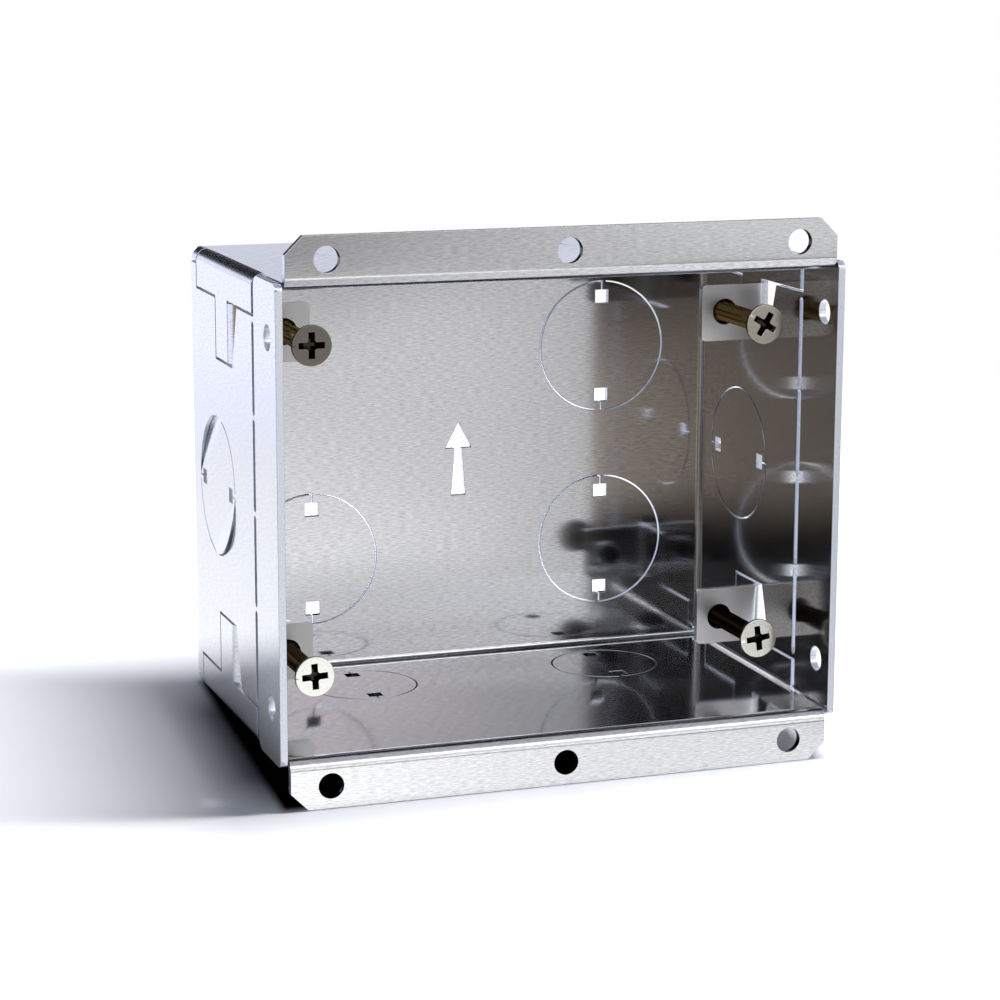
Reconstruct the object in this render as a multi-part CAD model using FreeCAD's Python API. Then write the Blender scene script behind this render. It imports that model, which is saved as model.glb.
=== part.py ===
import FreeCAD, Part
import math
import os
from FreeCAD import Vector

# Flush mounting box, folded from one sheet, with its four cover screws.
# Frame: Z up, X to the right, the opening faces -Y. The origin is the middle of
# the fixing flanges' front plane. All sizes are in millimetres.

# sheet and bends
SHEET = 1.5                     # sheet thickness
BEND_IN = 1.0                   # inside radius of a fold
KERF = 0.3                      # width of the cuts around a knockout
SEAM = 0.5                      # gap around a folded flap or tongue

# box
BOX_W = 116.0                   # outside, across the side walls
BOX_H = 92.5                    # outside, across the top and bottom walls
BOX_D = 68.0                    # from the flange face to the back

# fixing flanges, at the front of the top and bottom walls
FLANGE_OUT = 8.75               # from the wall's outer face to the flange's edge
FLANGE_CLEARANCE = 0.45         # at each end, to the side wall's strip
FLANGE_CHAMFER = 3.5
FIX_HOLE_D = 5.0
FIX_HOLE_END = 8.05             # outer holes, from the end of the flange
FIX_HOLE_EDGE = 4.5             # all holes, from its edge

# front strips of the side walls, which fold out along a slotted line
STRIP_D = 15.8                  # from the front edge to the slots behind the strip
STRIP_BACK_R = 2.5
STRIP_FRONT_R = 1.5
SLOT_W = 1.6
SLOT_CHAMFER = 0.5
SLOT_EDGE = 9.05                # outermost slot's end, from the strip's end
BRIDGE = 0.9                    # metal left between two slots
BRIDGE_Z = 18.75                # outer bridges, from the middle one
STRIP_HOLE_D = 5.0
STRIP_HOLE_Y = 5.9
STRIP_HOLE_EDGE = 10.65         # from the strip's end

# cover screws, countersunk, with a cross recess
SCREW_WALL_X = 10.8             # screw's axis, from the side wall's outer face
SCREW_WALL_Z = 13.75            # and from the top or bottom wall's outer face
SCREW_OUT = 19.9                # screw's face, in front of the tab
SCREW_LENGTH = 25.0
SCREW_D = 4.0
HEAD_D = 8.0
HEAD_RIM = 0.35
RECESS_SPAN = 5.2               # across two opposite wings
RECESS_WING = 1.25
RECESS_CORE = 2.2               # across the flats between the wings
RECESS_DEPTH = 2.1
RECESS_LOW_SPAN = 2.2           # the same sizes at the recess's bottom
RECESS_LOW_WING = 0.7
RECESS_LOW_CORE = 0.9
# turn of each screw's cross, in degrees, seen from the front
SCREW_TURN = {"upper_left": 0.0, "lower_left": 3.0, "upper_right": -26.0, "lower_right": 13.0}

# screw tab, folded inward from a tongue
TAB_FACE_Y = 33.5
TAB_EDGE = 5.2                  # from the screw's axis to the tab's free edge
TAB_ABOVE = 5.7                 # to the edge that faces the flap
TAB_BELOW = 6.1                 # and to the opposite edge
TAB_BEND_OUT = 3.0              # outside radius of its fold
TAB_CORNER_R = 1.0
TONGUE_L = 12.1                 # from the tab's face to the tongue's rear edge
CUTOUT_GAP = 0.8                # side wall's cut-out, in front of the tab's face
CUTOUT_SLANT = 3.9              # and how much further forward it starts at the flap

# drawn and tapped hole in the tab
COLLAR_D = 6.0
COLLAR_L = 1.3                  # how far the collar stands behind the tab
MOUTH_FLARE = 0.6               # widening of the hole's mouth, on the radius
TAP_CLEARANCE = 0.05            # between the screw and the hole, on the radius

# flaps of the top and bottom walls, folded down into cut-outs of the side walls
FLAP_BACK = 6.7                 # from the back's outer face

# knockouts: two pierced arcs, each ending at a square hole
BIG_R = 14.1
BIG_HOLE = 10.75                # middle of the knockout to each square hole
SMALL_R = 11.2
SMALL_HOLE = 8.2
SQUARE = 3.0
TIE = 0.8                       # metal left beside each square hole's slit
# middle of each knockout, from the outer face of the wall that it is measured from
BACK_KNOCK_SIDE = 25.25
BACK_KNOCK_TOP = 24.85
SIDE_KNOCK_BACK = 21.9
WALL_KNOCK_BACK = 19.5          # of those in the top and bottom walls
WALL_KNOCK_SIDE = 31.0

# distortion beside the pierced arcs of the left knockout, in degrees
DENT_START = 1.0                # from the slit to where the bending starts
DENT_SPAN = 105.0               # part of the circle that is bent
DENT_IN = 9.0                   # turn of the upper corner
DENT_OUT = 7.0                  # and of the lower one

# arrow cut through the back, pointing up
ARROW_TIP_Z = 6.3
ARROW_BARB_Z = 0.7
ARROW_FOOT_Z = -9.6
ARROW_BARB_X = 2.95
ARROW_NECK_X = 0.8
ARROW_FOOT_X = 1.6

# lengths that follow from the sizes above
BEND_OUT = SHEET + BEND_IN
HALF_W = BOX_W / 2
HALF_H = BOX_H / 2
INNER_X = HALF_W - SHEET
INNER_Y = BOX_D - SHEET
INNER_Z = HALF_H - SHEET
FOLD_X = HALF_W - BEND_OUT
FOLD_Y = BOX_D - BEND_OUT
FOLD_Z = HALF_H - BEND_OUT
FLANGE_X = INNER_X - FLANGE_CLEARANCE
FLANGE_Z = HALF_H + FLANGE_OUT
FIX_HOLE_X = FLANGE_X - FIX_HOLE_END
FIX_HOLE_Z = FLANGE_Z - FIX_HOLE_EDGE
SLOT_END_Z = HALF_H - SLOT_EDGE
STRIP_HOLE_Z = HALF_H - STRIP_HOLE_EDGE
SCREW_X = HALF_W - SCREW_WALL_X
SCREW_Z = HALF_H - SCREW_WALL_Z
TAB_Z = SCREW_Z + TAB_ABOVE
FLAP_Z = TAB_Z + SEAM
FLAP_FRONT_Y = STRIP_D + SLOT_W
FLAP_BACK_Y = BOX_D - FLAP_BACK
TONGUE_Z = SCREW_Z - TAB_BELOW
TONGUE_FRONT_Y = TAB_FACE_Y + TAB_BEND_OUT
TONGUE_BACK_Y = TAB_FACE_Y + TONGUE_L
HOLE_R = SCREW_D / 2 + TAP_CLEARANCE
BACK_KNOCK_X = HALF_W - BACK_KNOCK_SIDE
BACK_KNOCK_Z = HALF_H - BACK_KNOCK_TOP
SIDE_KNOCK_Y = BOX_D - SIDE_KNOCK_BACK
WALL_KNOCK_X = HALF_W - WALL_KNOCK_SIDE
WALL_KNOCK_Y = BOX_D - WALL_KNOCK_BACK
X, Y, Z = Vector(1, 0, 0), Vector(0, 1, 0), Vector(0, 0, 1)
REACH = 10.0                    # more than any sheet is thick, for cutting tools
EPS = 1e-6


def block(x0, x1, y0, y1, z0, z1):
    return Part.makeBox(x1 - x0, y1 - y0, z1 - z0, Vector(x0, y0, z0))


def plate(points, direction):
    """Prism over a flat polygon."""
    return Part.Face(Part.makePolygon(points + [points[0]])).extrude(direction)


def bend(centre, first, second, outer, run):
    """Fold between two sheets whose outer faces look along first and second."""
    middle = (first + second).normalize()
    edges = [Part.Arc(centre + first * r, centre + middle * r, centre + second * r).toShape()
             for r in (outer, outer - SHEET)]
    edges += [Part.makeLine(centre + d * outer, centre + d * (outer - SHEET))
              for d in (first, second)]
    return Part.Face(Part.Wire(Part.sortEdges(edges)[0])).extrude(run)


def drill(centre, direction, radius):
    return Part.makeCylinder(radius, REACH, centre - direction * (REACH / 2), direction)


def side_wall():
    """Upper half of the right wall with its strip and the cut-out for flap and tongue."""
    wall = block(INNER_X, HALF_W, 0, FOLD_Y, 0, TAB_Z)
    strip = block(INNER_X, HALF_W, 0, STRIP_D, 0, HALF_H)
    for y, radius in ((0, STRIP_FRONT_R), (STRIP_D, STRIP_BACK_R)):
        corner = [e for e in strip.Edges if abs(e.CenterOfMass.z - HALF_H) < EPS
                  and abs(e.CenterOfMass.y - y) < EPS and abs(e.Length - SHEET) < EPS]
        strip = strip.makeFillet(radius, corner)
    rear = block(INNER_X, HALF_W, FLAP_BACK_Y + SEAM, FOLD_Y, 0, FOLD_Z - SEAM)
    narrow_y = TAB_FACE_Y - CUTOUT_GAP
    wide_y = narrow_y - CUTOUT_SLANT
    outline = [(TONGUE_BACK_Y + SEAM, HALF_H), (TONGUE_BACK_Y + SEAM, TONGUE_Z - SEAM),
               (narrow_y, TONGUE_Z - SEAM), (wide_y, TAB_Z), (wide_y, HALF_H)]
    cutout = plate([Vector(INNER_X - SHEET, y, z) for y, z in outline], X * REACH)
    return wall.fuse([strip, rear]).cut(cutout)


def screw_tab():
    """Tab parallel to the back, with its drawn hole, and the fold to the tongue."""
    fold_x = HALF_W - TAB_BEND_OUT
    edge_x = SCREW_X - TAB_EDGE
    tab = block(edge_x, fold_x, TAB_FACE_Y, TAB_FACE_Y + SHEET, TONGUE_Z, TAB_Z)
    corners = [e for e in tab.Edges if abs(e.CenterOfMass.x - edge_x) < EPS
               and abs(e.Length - SHEET) < EPS]
    tab = tab.makeFillet(TAB_CORNER_R, corners)
    fold = bend(Vector(fold_x, TONGUE_FRONT_Y, TONGUE_Z), X, -Y, TAB_BEND_OUT,
                Z * (TAB_Z - TONGUE_Z))
    tongue = block(INNER_X, HALF_W, TONGUE_FRONT_Y, TONGUE_BACK_Y, TONGUE_Z, FLAP_Z)
    mouth = Vector(SCREW_X, TAB_FACE_Y, SCREW_Z)
    collar = Part.makeCylinder(COLLAR_D / 2, SHEET + COLLAR_L, mouth, Y)
    bore = Part.makeCylinder(HOLE_R, REACH, mouth, Y)
    flare = Part.makeCone(HOLE_R + MOUTH_FLARE, HOLE_R, MOUTH_FLARE, mouth, Y)
    return tab.fuse([collar, fold, tongue]).cut([bore, flare])


def top_wall():
    """Right half of the top wall, narrower between the strips, and its folded flap."""
    flap_fold = bend(Vector(FOLD_X, FLAP_FRONT_Y, FOLD_Z), X, Z, BEND_OUT,
                     Y * (FOLD_Y - FLAP_FRONT_Y))
    relief = block(FOLD_X, HALF_W, FLAP_BACK_Y, FLAP_BACK_Y + SEAM, 0, HALF_H)
    return [block(0, FLANGE_X, BEND_OUT, FLAP_FRONT_Y, INNER_Z, HALF_H),
            block(0, FOLD_X, FLAP_FRONT_Y, FOLD_Y, INNER_Z, HALF_H),
            flap_fold.cut(relief),
            block(INNER_X, HALF_W, FLAP_FRONT_Y, FLAP_BACK_Y, FLAP_Z, FOLD_Z)]


def flange():
    """Right half of the upper flange and its fold to the top wall."""
    foot_z = INNER_Z + BEND_OUT
    outline = [(0, foot_z), (FLANGE_X, foot_z), (FLANGE_X, FLANGE_Z - FLANGE_CHAMFER),
               (FLANGE_X - FLANGE_CHAMFER, FLANGE_Z), (0, FLANGE_Z)]
    return [bend(Vector(0, BEND_OUT, foot_z), -Y, -Z, BEND_OUT, X * FLANGE_X),
            plate([Vector(x, 0, z) for x, z in outline], Y * SHEET)]


def quarter():
    """Upper right quarter of the folded sheet, before the openings are cut."""
    back = block(0, FOLD_X, INNER_Y, BOX_D, 0, FOLD_Z)
    side_fold = bend(Vector(FOLD_X, FOLD_Y, 0), X, Y, BEND_OUT, Z * (FOLD_Z - SEAM))
    top_fold = bend(Vector(0, FOLD_Y, FOLD_Z), Y, Z, BEND_OUT, X * INNER_X)
    return back.fuse([side_fold, top_fold, side_wall(), screw_tab()] + top_wall() + flange())


def knockout(radius, hole):
    """Cutting tool about the Z axis: two arcs, two square holes with a slit each."""
    tools = []
    ring = Part.makeCylinder(radius + KERF / 2, REACH, Vector(0, 0, -REACH / 2))
    ring = ring.cut(Part.makeCylinder(radius - KERF / 2, REACH, Vector(0, 0, -REACH / 2)))
    tie = block(KERF / 2, KERF / 2 + TIE, radius - KERF, radius + KERF, -REACH, REACH)
    for turn in (0, 180):
        gap = tie.copy()
        gap.rotate(Vector(), Z, turn)
        ring = ring.cut(gap)
        square = block(-SQUARE / 2, SQUARE / 2, hole - SQUARE / 2, hole + SQUARE / 2,
                       -REACH / 2, REACH / 2)
        slit = block(-KERF / 2, KERF / 2, hole, radius, -REACH / 2, REACH / 2)
        for tool in (square, slit):
            tool.rotate(Vector(), Z, turn)
            tools.append(tool)
    return ring.fuse(tools)


def placed(tool, centre, normal, up):
    """Copy of a tool whose Z axis turns to normal and whose Y axis turns to up."""
    copy = tool.copy()
    copy.Placement = FreeCAD.Placement(
        centre, FreeCAD.Rotation(up.cross(normal), up, normal, "XYZ"))
    return copy


def knockout_tools():
    big, small = knockout(BIG_R, BIG_HOLE), knockout(SMALL_R, SMALL_HOLE)
    tools = [placed(big, Vector(x * BACK_KNOCK_X, INNER_Y, z * BACK_KNOCK_Z), -Y, Z)
             for x, z in ((1, 1), (1, -1), (-1, -1))]
    for side in (1, -1):
        tools.append(placed(big, Vector(side * INNER_X, SIDE_KNOCK_Y, 0), X * -side, Y))
        tools += [placed(small, Vector(side * WALL_KNOCK_X, WALL_KNOCK_Y, wall * INNER_Z),
                         Z * -wall, Y) for wall in (1, -1)]
    return tools


def fold_slot(x, start, end):
    """Cutting tool for one slot of the line along which a strip folds."""
    back, cut = STRIP_D + SLOT_W, SLOT_CHAMFER
    outline = [(STRIP_D, start + cut), (STRIP_D + cut, start), (back - cut, start),
               (back, start + cut), (back, end - cut), (back - cut, end),
               (STRIP_D + cut, end), (STRIP_D, end - cut)]
    return plate([Vector(x - SHEET, y, z) for y, z in outline], X * (2 * SHEET))


def opening_tools():
    """Round holes of the flanges and strips, slots of the fold lines, and the arrow."""
    tools = [drill(Vector(x * FIX_HOLE_X, SHEET / 2, z * FIX_HOLE_Z), Y, FIX_HOLE_D / 2)
             for x in (-1, 0, 1) for z in (-1, 1)]
    half = BRIDGE / 2
    spans = ((half, BRIDGE_Z - half), (BRIDGE_Z + half, SLOT_END_Z))
    for side in (-1, 1):
        x = side * (HALF_W - SHEET / 2)
        for up in (-1, 1):
            tools.append(drill(Vector(x, STRIP_HOLE_Y, up * STRIP_HOLE_Z), X,
                               STRIP_HOLE_D / 2))
            tools += [fold_slot(x, *sorted((up * inner, up * outer)))
                      for inner, outer in spans]
    outline = [(0, ARROW_TIP_Z), (ARROW_BARB_X, ARROW_BARB_Z), (ARROW_NECK_X, ARROW_BARB_Z),
               (ARROW_FOOT_X, ARROW_FOOT_Z), (-ARROW_FOOT_X, ARROW_FOOT_Z),
               (-ARROW_NECK_X, ARROW_BARB_Z), (-ARROW_BARB_X, ARROW_BARB_Z)]
    tools.append(plate([Vector(x, INNER_Y - SHEET, z) for x, z in outline], Y * REACH))
    return tools


def segment(start, grow):
    """Part of the left knockout between its arc and the chord from start degrees."""
    radius = BIG_R - KERF / 2 + grow
    ends = [math.radians(start), math.radians(start + DENT_SPAN)]
    middle = sum(ends) / 2
    a, m, b = [Vector(-HALF_W, SIDE_KNOCK_Y + radius * math.cos(t), radius * math.sin(t))
               for t in (ends[0], middle, ends[1])]
    wire = Part.Wire([Part.Arc(a, m, b).toShape(), Part.makeLine(b, a)])
    return Part.Face(wire).extrude(X * SHEET), a, b


def bent_knockout(sheet):
    """Bend the two pierced corners of the left knockout: one inward, one outward."""
    for start, turn in ((DENT_START, -DENT_IN), (180 + DENT_START, DENT_OUT)):
        hole, _, _ = segment(start, KERF)
        leaf, a, b = segment(start, 0)
        leaf.rotate(a + X * (SHEET / 2), b - a, turn)
        sheet = sheet.cut(hole).fuse(leaf)
    return sheet


def folded_sheet():
    half = quarter()
    half = half.fuse(half.mirror(Vector(), Z))
    sheet = half.fuse(half.mirror(Vector(), X)).removeSplitter()
    sheet = sheet.cut(opening_tools() + knockout_tools())
    return bent_knockout(sheet)


def recess():
    """Cross recess along the Y axis, opening at y = 0: two crossing wings and a core
    turned halfway between them."""
    wing = RECESS_SPAN / 2, RECESS_WING / 2, RECESS_LOW_SPAN / 2, RECESS_LOW_WING / 2
    core = RECESS_CORE / 2, RECESS_CORE / 2, RECESS_LOW_CORE / 2, RECESS_LOW_CORE / 2
    cutters = []
    for turn, (x, z, low_x, low_z) in ((0, wing), (90, wing), (45, core)):
        cutter = Part.makeWedge(-x, 0, -z, -low_z, -low_x, x, RECESS_DEPTH, z, low_z, low_x)
        cutter.rotate(Vector(), Y, turn)
        cutters.append(cutter)
    return cutters[0].fuse(cutters[1:])


def screw(turn):
    """Countersunk screw along Y, its face on y = 0 and its tip toward +Y."""
    head, shank = HEAD_D / 2, SCREW_D / 2
    profile = [Vector(0, 0, 0), Vector(head, 0, 0), Vector(head, HEAD_RIM, 0),
               Vector(shank, HEAD_RIM + head - shank, 0), Vector(shank, SCREW_LENGTH, 0),
               Vector(0, SCREW_LENGTH, 0)]
    body = Part.Face(Part.makePolygon(profile + [profile[0]])).revolve(Vector(), Y, 360)
    cross = recess()
    cross.rotate(Vector(), Y, -turn)
    return body.cut(cross)


def main():
    os.makedirs("parts", exist_ok=True)
    shapes = {"box": folded_sheet()}
    for name, turn in SCREW_TURN.items():
        side = 1 if "right" in name else -1
        level = 1 if "upper" in name else -1
        piece = screw(turn)
        piece.translate(Vector(side * SCREW_X, TAB_FACE_Y - SCREW_OUT, level * SCREW_Z))
        shapes["screw_" + name] = piece
    for name, shape in shapes.items():
        solids = shape.Solids
        if len(solids) != 1 or not shape.isValid():
            raise ValueError(name + " is not one valid solid")
        solids[0].exportStep("parts/" + name + ".step")


main()
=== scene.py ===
import math

import bmesh
import bpy
from bpy.props import FloatProperty, FloatVectorProperty, PointerProperty
from mathutils import Matrix, Vector
from mathutils.bvhtree import BVHTree


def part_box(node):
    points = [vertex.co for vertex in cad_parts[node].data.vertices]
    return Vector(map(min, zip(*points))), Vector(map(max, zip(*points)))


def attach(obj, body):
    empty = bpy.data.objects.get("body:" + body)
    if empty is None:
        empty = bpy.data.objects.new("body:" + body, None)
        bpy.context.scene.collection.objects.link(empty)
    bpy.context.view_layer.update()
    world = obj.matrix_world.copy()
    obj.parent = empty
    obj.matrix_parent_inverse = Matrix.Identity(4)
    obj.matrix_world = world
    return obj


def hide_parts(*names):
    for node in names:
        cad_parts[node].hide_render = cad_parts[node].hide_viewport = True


bl_info = {
    "name": "Flush mounting box",
    "version": (1, 0, 0),
    "blender": (4, 5, 0),
    "location": "View3D > Sidebar > Mounting box",
    "description": "Dresses a flush mounting box: the folded steel sheet and its cover screws",
    "category": "Object",
}

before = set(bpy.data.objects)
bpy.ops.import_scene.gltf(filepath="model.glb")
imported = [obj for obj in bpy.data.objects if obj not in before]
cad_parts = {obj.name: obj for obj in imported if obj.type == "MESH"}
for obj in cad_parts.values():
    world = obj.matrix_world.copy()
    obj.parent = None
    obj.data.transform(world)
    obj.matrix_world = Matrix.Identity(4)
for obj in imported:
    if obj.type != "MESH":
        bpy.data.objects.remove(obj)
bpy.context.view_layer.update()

# The frame is in metres, +Z up, and the box opens towards -Y.
MM = 0.001
BODY = "root"
SHEET = 1.5 * MM

# The screws, and how far each one's cross is turned, in degrees, seen from the front.
SCREWS = {"screw_upper_left": 0.0, "screw_lower_left": 3.0,
          "screw_upper_right": -31.0, "screw_lower_right": 8.0}
SCREW_LOW, SCREW_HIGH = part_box("screw_upper_left")

# Camera, in millimetres and degrees, fitted to the photograph's corners and holes.
VIEW_AZIMUTH = 19.503
VIEW_ELEVATION = 11.498
VIEW_ROLL = 0.177
VIEW_DISTANCE = 578.7
VIEW_TARGET = (-2.264, 33.165, -4.071)
FOCAL_PIXELS = 2836.8
IMAGE_PIXELS = 1000
SENSOR = 36.0
CLIP_START = 10.0

# The box leans back on the edge behind its bottom wall, so the floor is tilted in its frame:
# it passes through these two points (y, z), in millimetres.
FLOOR_FRONT = (0.75, -55.0)
FLOOR_BACK = (68.0, -46.25)

# Away from the box the floor melts into the background, and in front of the box the metal
# looks through it: each pair says where that begins and where it is full.
FLOOR_MELT = (0.2, 0.36)
FLOOR_CLEAR = (0.01, -0.01)

# Contact shadow on the floor: black below the box, grey beside it to the left. The pairs are
# distances across and to the back, from where the shadow begins to where it is full.
SHADOW_RIGHT = (52.0 * MM, 30.0 * MM)
BELOW_LEFT, BESIDE_LEFT = (-58.6 * MM, -56.1 * MM), (-71.0 * MM, -56.5 * MM)
BELOW_FRONT, BESIDE_FRONT = (-1.0 * MM, 3.0 * MM), (-2.0 * MM, 20.0 * MM)
BELOW_BACK, BESIDE_BACK = (70.0 * MM, 66.0 * MM), (72.0 * MM, 48.0 * MM)

# The knockout in the left side that is bent ajar: its middle (y, z) and how far it reaches.
BENT_KNOCKOUT = (46.1 * MM, 0.0)
BENT_REACH = 15.5 * MM

# The screw tabs' front faces lie between these two depths (y).
TAB_FRONT = (33.4 * MM, 33.6 * MM)

# Middles (x, z) of the upper flange's holes, and a little more than their radius.
FLANGE_HOLES = [(x * MM, 50.5 * MM) for x in (-48.0, 0.0, 48.0)]
HOLE_REACH = 2.55 * MM

# The sheet's materials, in the order of their slots.
BRUSHED, SHEARED, TAB, HOLE_WALL, FOLD = range(5)

# A face counts as a tab's front, as flat and not folded, or as facing along an axis when its
# normal reaches this far along that axis. A hole's wall stays under the last value.
TAB_SQUARE = 0.99
FLAT_SQUARE = 0.995
FACING = 0.9
WALL_SQUARE = 0.5

# Share of the sheet's thickness by which the metal behind a brushed face may differ from it.
THICKNESS_SLACK = 0.2

# Share of the real distance across the grain that the map keeps on the top and inside the
# sides. The smaller it is, the wider the lines are drawn.
TOP_NARROW = 0.2
INNER_NARROW = 0.5

# Mesh: points this close are one, a point this far behind a face is inside the metal, faces
# within this angle are one, and a shallow or a sharp turn between two faces.
SAME_POINT = 0.001 * MM
JUST_INSIDE = 0.01 * MM
SAME_PLANE = math.radians(0.3)
SHALLOW = math.radians(5)
SHARP = math.radians(40)

# Brushed lines: the band of the noise that they use, how much rougher their bottoms and
# smoother their crests are, and how deep they are.
NOISE_BAND = (0.3, 0.7)
ROUGHER, SMOOTHER = 0.015, 0.01
LINE_RELIEF = 0.04 * MM

# Slow unevenness of rolled sheet: waves to the metre along and across the grain, and depth.
SHEET_WAVES = (14, 22, 1)
SHEET_RELIEF = 0.2 * MM

# Grain size and depth of the torn edge and of the plating.
TORN_SIZE, TORN_RELIEF = 0.3 * MM, 0.04 * MM
GRIT_SIZE, GRIT_RELIEF = 0.5 * MM, 0.02 * MM
GRIT_SPOTS = (0.55, 0.75)

# Depths behind a screw's face: down in the recess or at the rim, and behind the head.
# Past the first depths the screw is coloured with painted shade; past the second, its threads
# carry painted shade and reflection.
SUNK = (0.06 * MM, 0.15 * MM)
BEHIND_HEAD = (2.2 * MM, 2.8 * MM)

# Screw head: rounding of the rim, the neck where the cone meets the shank, faces around it,
# and the softness of its edges. Faces within the smaller angle are joined, and edges that
# turn by more than the larger one are softened.
RIM_ROUND, RIM_CORNER = 0.18 * MM, 0.05 * MM
NECK, NECK_PAST = 0.3 * MM, 0.2 * MM
HEAD_FACES = 64
HEAD_SOFT = 0.06 * MM
HEAD_PLANE = math.radians(0.5)
HEAD_SHARP = math.radians(50)

# Cross recess: its depth, its wings' floor, and the square core between the wings at the
# face and at the floor. The cutters stand out of the face by a share of the depth.
RECESS_DEPTH = 2.1 * MM
WING_FLOOR = (2.2 * MM, 0.7 * MM)
CORE_FACE, CORE_FLOOR = (2.2 * MM, 2.2 * MM), (0.9 * MM, 0.9 * MM)
CUTTER_OUT = 0.2

# Thread: points around each turn, the first and last on one spot, and how close points merge.
THREAD_POINTS = 41
THREAD_MERGE = 0.002 * MM


def linear(colour):
    """sRGB hex colour, such as "C8C9CB", as linear RGBA."""
    parts = [int(colour[i:i + 2], 16) / 255 for i in (0, 2, 4)]
    return [p / 12.92 if p <= 0.04045 else ((p + 0.055) / 1.055) ** 2.4 for p in parts] + [1.0]


def node(tree, kind, links=None, settings=None, **values):
    """Adds a node: values are for its inputs by name, links are sockets by name or number."""
    made = tree.nodes.new(kind)
    for key, value in (settings or {}).items():
        setattr(made, key, value)
    for key, value in values.items():
        made.inputs[key.replace("_", " ")].default_value = value
    for key, source in (links or {}).items():
        tree.links.new(source, made.inputs[key])
    return made


def math_node(tree, operation, a, b=None):
    """Adds one sum to a tree and gives its result; a and b are sockets or numbers."""
    made = node(tree, "ShaderNodeMath", settings={"operation": operation})
    for slot, value in enumerate((a, b)):
        if isinstance(value, (int, float)):
            made.inputs[slot].default_value = value
        elif value is not None:
            tree.links.new(value, made.inputs[slot])
    return made.outputs[0]


def ramp(tree, value, low, high):
    """Rises smoothly from 0 at low to 1 at high; low may be the larger."""
    made = node(tree, "ShaderNodeMapRange", {"Value": value},
                {"interpolation_type": "SMOOTHSTEP"}, From_Min=low, From_Max=high)
    return made.outputs["Result"]


def layered(tree, base, layers):
    """Colour built up from a base colour and (factors, colour) layers laid over it."""
    under = node(tree, "ShaderNodeRGB").outputs[0]
    under.default_value = base
    for factors, colour in layers:
        share = factors[0]
        for other in factors[1:]:
            share = math_node(tree, "MULTIPLY", share, other)
        over = node(tree, "ShaderNodeMix", settings={"data_type": "RGBA"})
        tree.links.new(share, over.inputs["Factor"])
        tree.links.new(under, over.inputs["A"])
        over.inputs["B"].default_value = colour
        under = over.outputs["Result"]
    return under


def add_piece(name, mesh):
    """Adds a piece from a finished mesh."""
    piece = bpy.data.objects.new(name, mesh)
    bpy.context.scene.collection.objects.link(piece)
    return piece


def applied(carrier, name):
    """Mesh of an object with its modifiers applied; the object is removed."""
    graph = bpy.context.evaluated_depsgraph_get()
    graph.update()
    mesh = bpy.data.meshes.new_from_object(carrier.evaluated_get(graph))
    mesh.name = name
    bpy.data.objects.remove(carrier)
    return mesh


def carrier_for(name, bm):
    """Puts a bmesh into a scratch object that carries modifiers until they are applied."""
    for face in bm.faces:
        face.smooth = True
    mesh = bpy.data.meshes.new(name)
    bm.to_mesh(mesh)
    bm.free()
    carrier = bpy.data.objects.new(name, mesh)
    bpy.context.scene.collection.objects.link(carrier)
    return carrier


def flatten(carrier):
    """Lets the large faces of an object set the shading normals, so they look flat."""
    flat = carrier.modifiers.new("flat faces", "WEIGHTED_NORMAL")
    flat.mode = "FACE_AREA"
    flat.weight = 100
    flat.keep_sharp = True


# Materials


def brushed_sheet(look, name, roughness, anisotropy):
    """Stainless steel sheet with a bright brushed finish, as sold for enclosures. The lines
    run one way, and reflections smear along them. Over a fold the skin is stretched, and the
    tool rubs it, so it looks softer there."""
    material = bpy.data.materials.new(name)
    material.use_nodes = True
    tree = material.node_tree
    surface = tree.nodes["Principled BSDF"]
    place = node(tree, "ShaderNodeUVMap", settings={"uv_map": "grain"})
    # brushed lines are far finer than a pixel, so they are drawn wider than they are
    stretched = node(tree, "ShaderNodeMapping", {"Vector": place.outputs["UV"]},
                     Scale=(1 / look.grain_length, 1 / look.grain_width, 1))
    grain = node(tree, "ShaderNodeTexNoise", {"Vector": stretched.outputs["Vector"]},
                 Scale=1.0, Detail=3.0, Roughness=0.6)
    waves = node(tree, "ShaderNodeMapping", {"Vector": place.outputs["UV"]}, Scale=SHEET_WAVES)
    wave = node(tree, "ShaderNodeTexNoise", {"Vector": waves.outputs["Vector"]},
                Scale=1.0, Detail=1.0, Roughness=0.4)
    tone = node(tree, "ShaderNodeMapRange", {"Value": grain.outputs["Fac"]},
                From_Min=NOISE_BAND[0], From_Max=NOISE_BAND[1], To_Min=0.0, To_Max=1.0)
    colour = node(tree, "ShaderNodeMix", {"Factor": tone.outputs["Result"]},
                  settings={"data_type": "RGBA"})
    colour.inputs["A"].default_value = look.dark_line
    colour.inputs["B"].default_value = look.steel
    rough = node(tree, "ShaderNodeMapRange", {"Value": grain.outputs["Fac"]},
                 From_Min=NOISE_BAND[0], From_Max=NOISE_BAND[1],
                 To_Min=roughness + ROUGHER, To_Max=roughness - SMOOTHER)
    lines = node(tree, "ShaderNodeBump", {"Height": grain.outputs["Fac"]},
                 Strength=look.grain_depth, Distance=LINE_RELIEF)
    sheet = node(tree, "ShaderNodeBump", {"Height": wave.outputs["Fac"],
                                         "Normal": lines.outputs["Normal"]},
                 Strength=1.0, Distance=SHEET_RELIEF)
    tangent = node(tree, "ShaderNodeTangent", settings={"direction_type": "UV_MAP",
                                                       "uv_map": "grain"})
    tree.links.new(colour.outputs["Result"], surface.inputs["Base Color"])
    tree.links.new(rough.outputs["Result"], surface.inputs["Roughness"])
    tree.links.new(sheet.outputs["Normal"], surface.inputs["Normal"])
    tree.links.new(tangent.outputs["Tangent"], surface.inputs["Tangent"])
    surface.inputs["Metallic"].default_value = 1.0
    surface.inputs["Anisotropic"].default_value = anisotropy
    return material


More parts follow.
